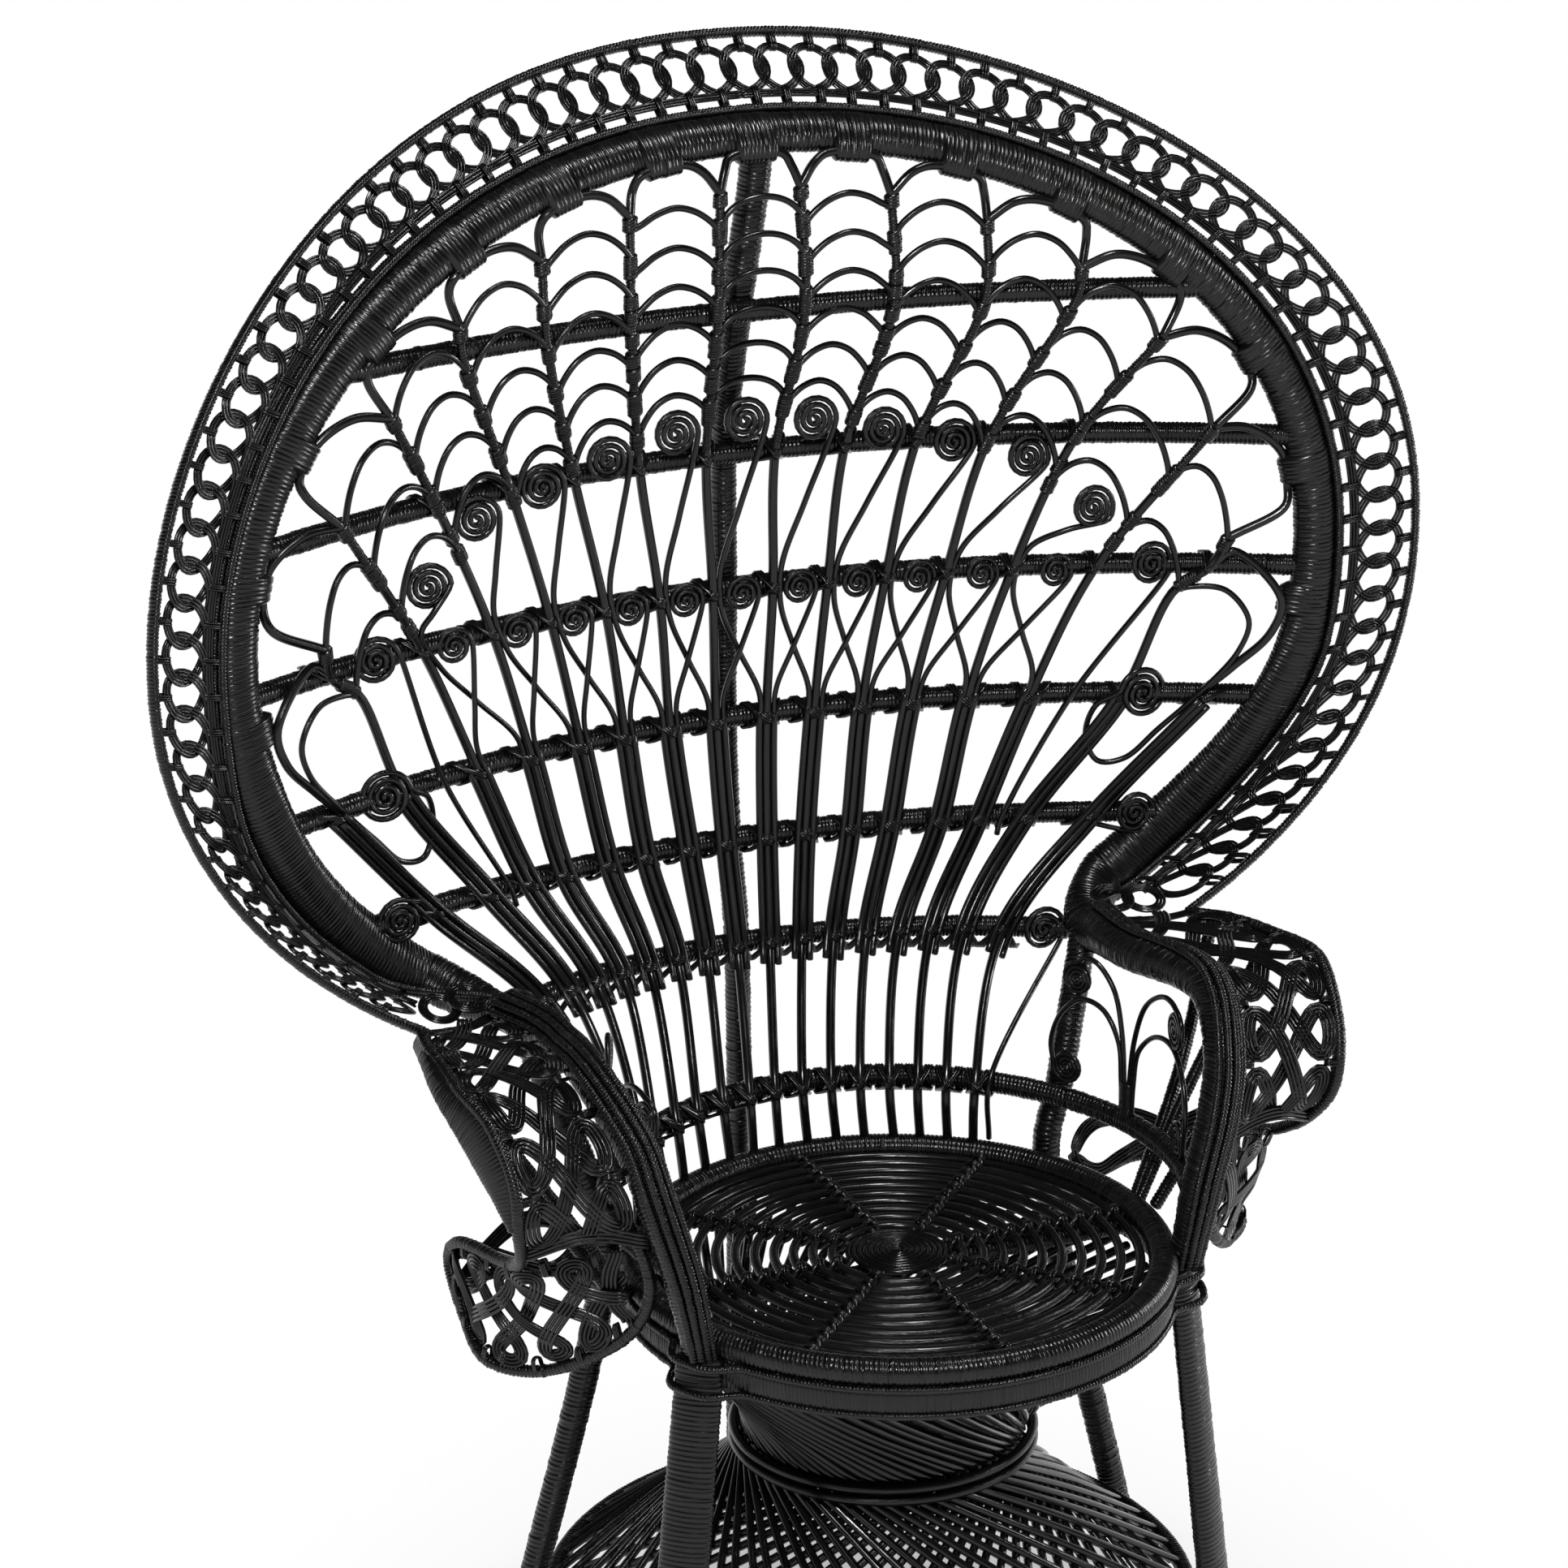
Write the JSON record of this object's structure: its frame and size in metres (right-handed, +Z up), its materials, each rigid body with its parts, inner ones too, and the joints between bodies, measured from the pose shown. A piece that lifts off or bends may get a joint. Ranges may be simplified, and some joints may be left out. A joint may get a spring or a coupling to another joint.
{
  "type": "peacock chair",
  "caption": "Woven black rattan armchair: tall fan back with a chain-link border, open arms with woven outer panels, round cane seat and an hourglass base on splayed legs.",
  "frame": {"origin": "middle of the bounding box at floor level", "axes": "+Z up, -Y the way the sitter faces, +X to the right of someone who looks at the chair from in front"},
  "size_m": [1.1862, 0.6414, 1.4262],
  "materials": {
    "wrapped": "black lacquer over wound cane, semi-gloss",
    "cane": "black lacquered round cane, semi-gloss"
  },
  "bodies": {
    "root": {"back_hoop": "wrapped", "outer_rim": "wrapped", "rail_1": "wrapped", "rail_2": "wrapped", "rail_3": "wrapped", "rail_4": "wrapped", "rail_5": "wrapped", "rail_6": "wrapped", "arm_rail": "wrapped", "centre_post": "wrapped", "arm_left": "wrapped", "arm_right": "wrapped", "arm_panel_rim_left": "wrapped", "arm_panel_rim_right": "wrapped", "leg_front_left": "wrapped", "leg_front_right": "wrapped", "leg_back_left": "wrapped", "leg_back_right": "wrapped", "seat_ring": "wrapped", "base_ring": "wrapped", "waist_ring": "wrapped", "chain_border_1": "cane", "chain_border_2": "cane", "chain_border_3": "cane", "chain_border_4": "cane", "chain_border_5": "cane", "chain_border_6": "cane", "stave_left_1": "cane", "stave_left_2": "cane", "stave_left_3": "cane", "stave_left_4": "cane", "stave_left_5": "cane", "stave_left_6": "cane", "stave_left_7": "cane", "stave_left_8": "cane", "stave_right_1": "cane", "stave_right_2": "cane", "stave_right_3": "cane", "stave_right_4": "cane", "stave_right_5": "cane", "stave_right_6": "cane", "stave_right_7": "cane", "stave_right_8": "cane", "arm_panel_left": "cane", "arm_panel_right": "cane", "arm_lobe_left": "cane", "arm_lobe_right": "cane", "arm_motif_left": "cane", "arm_motif_right": "cane", "seat_mat": "cane", "seat_centre": "cane", "seat_bar_1": "cane", "seat_bar_2": "cane", "base_twist_upper": "cane", "base_twist_lower": "cane"}
  },
  "joints": []
}
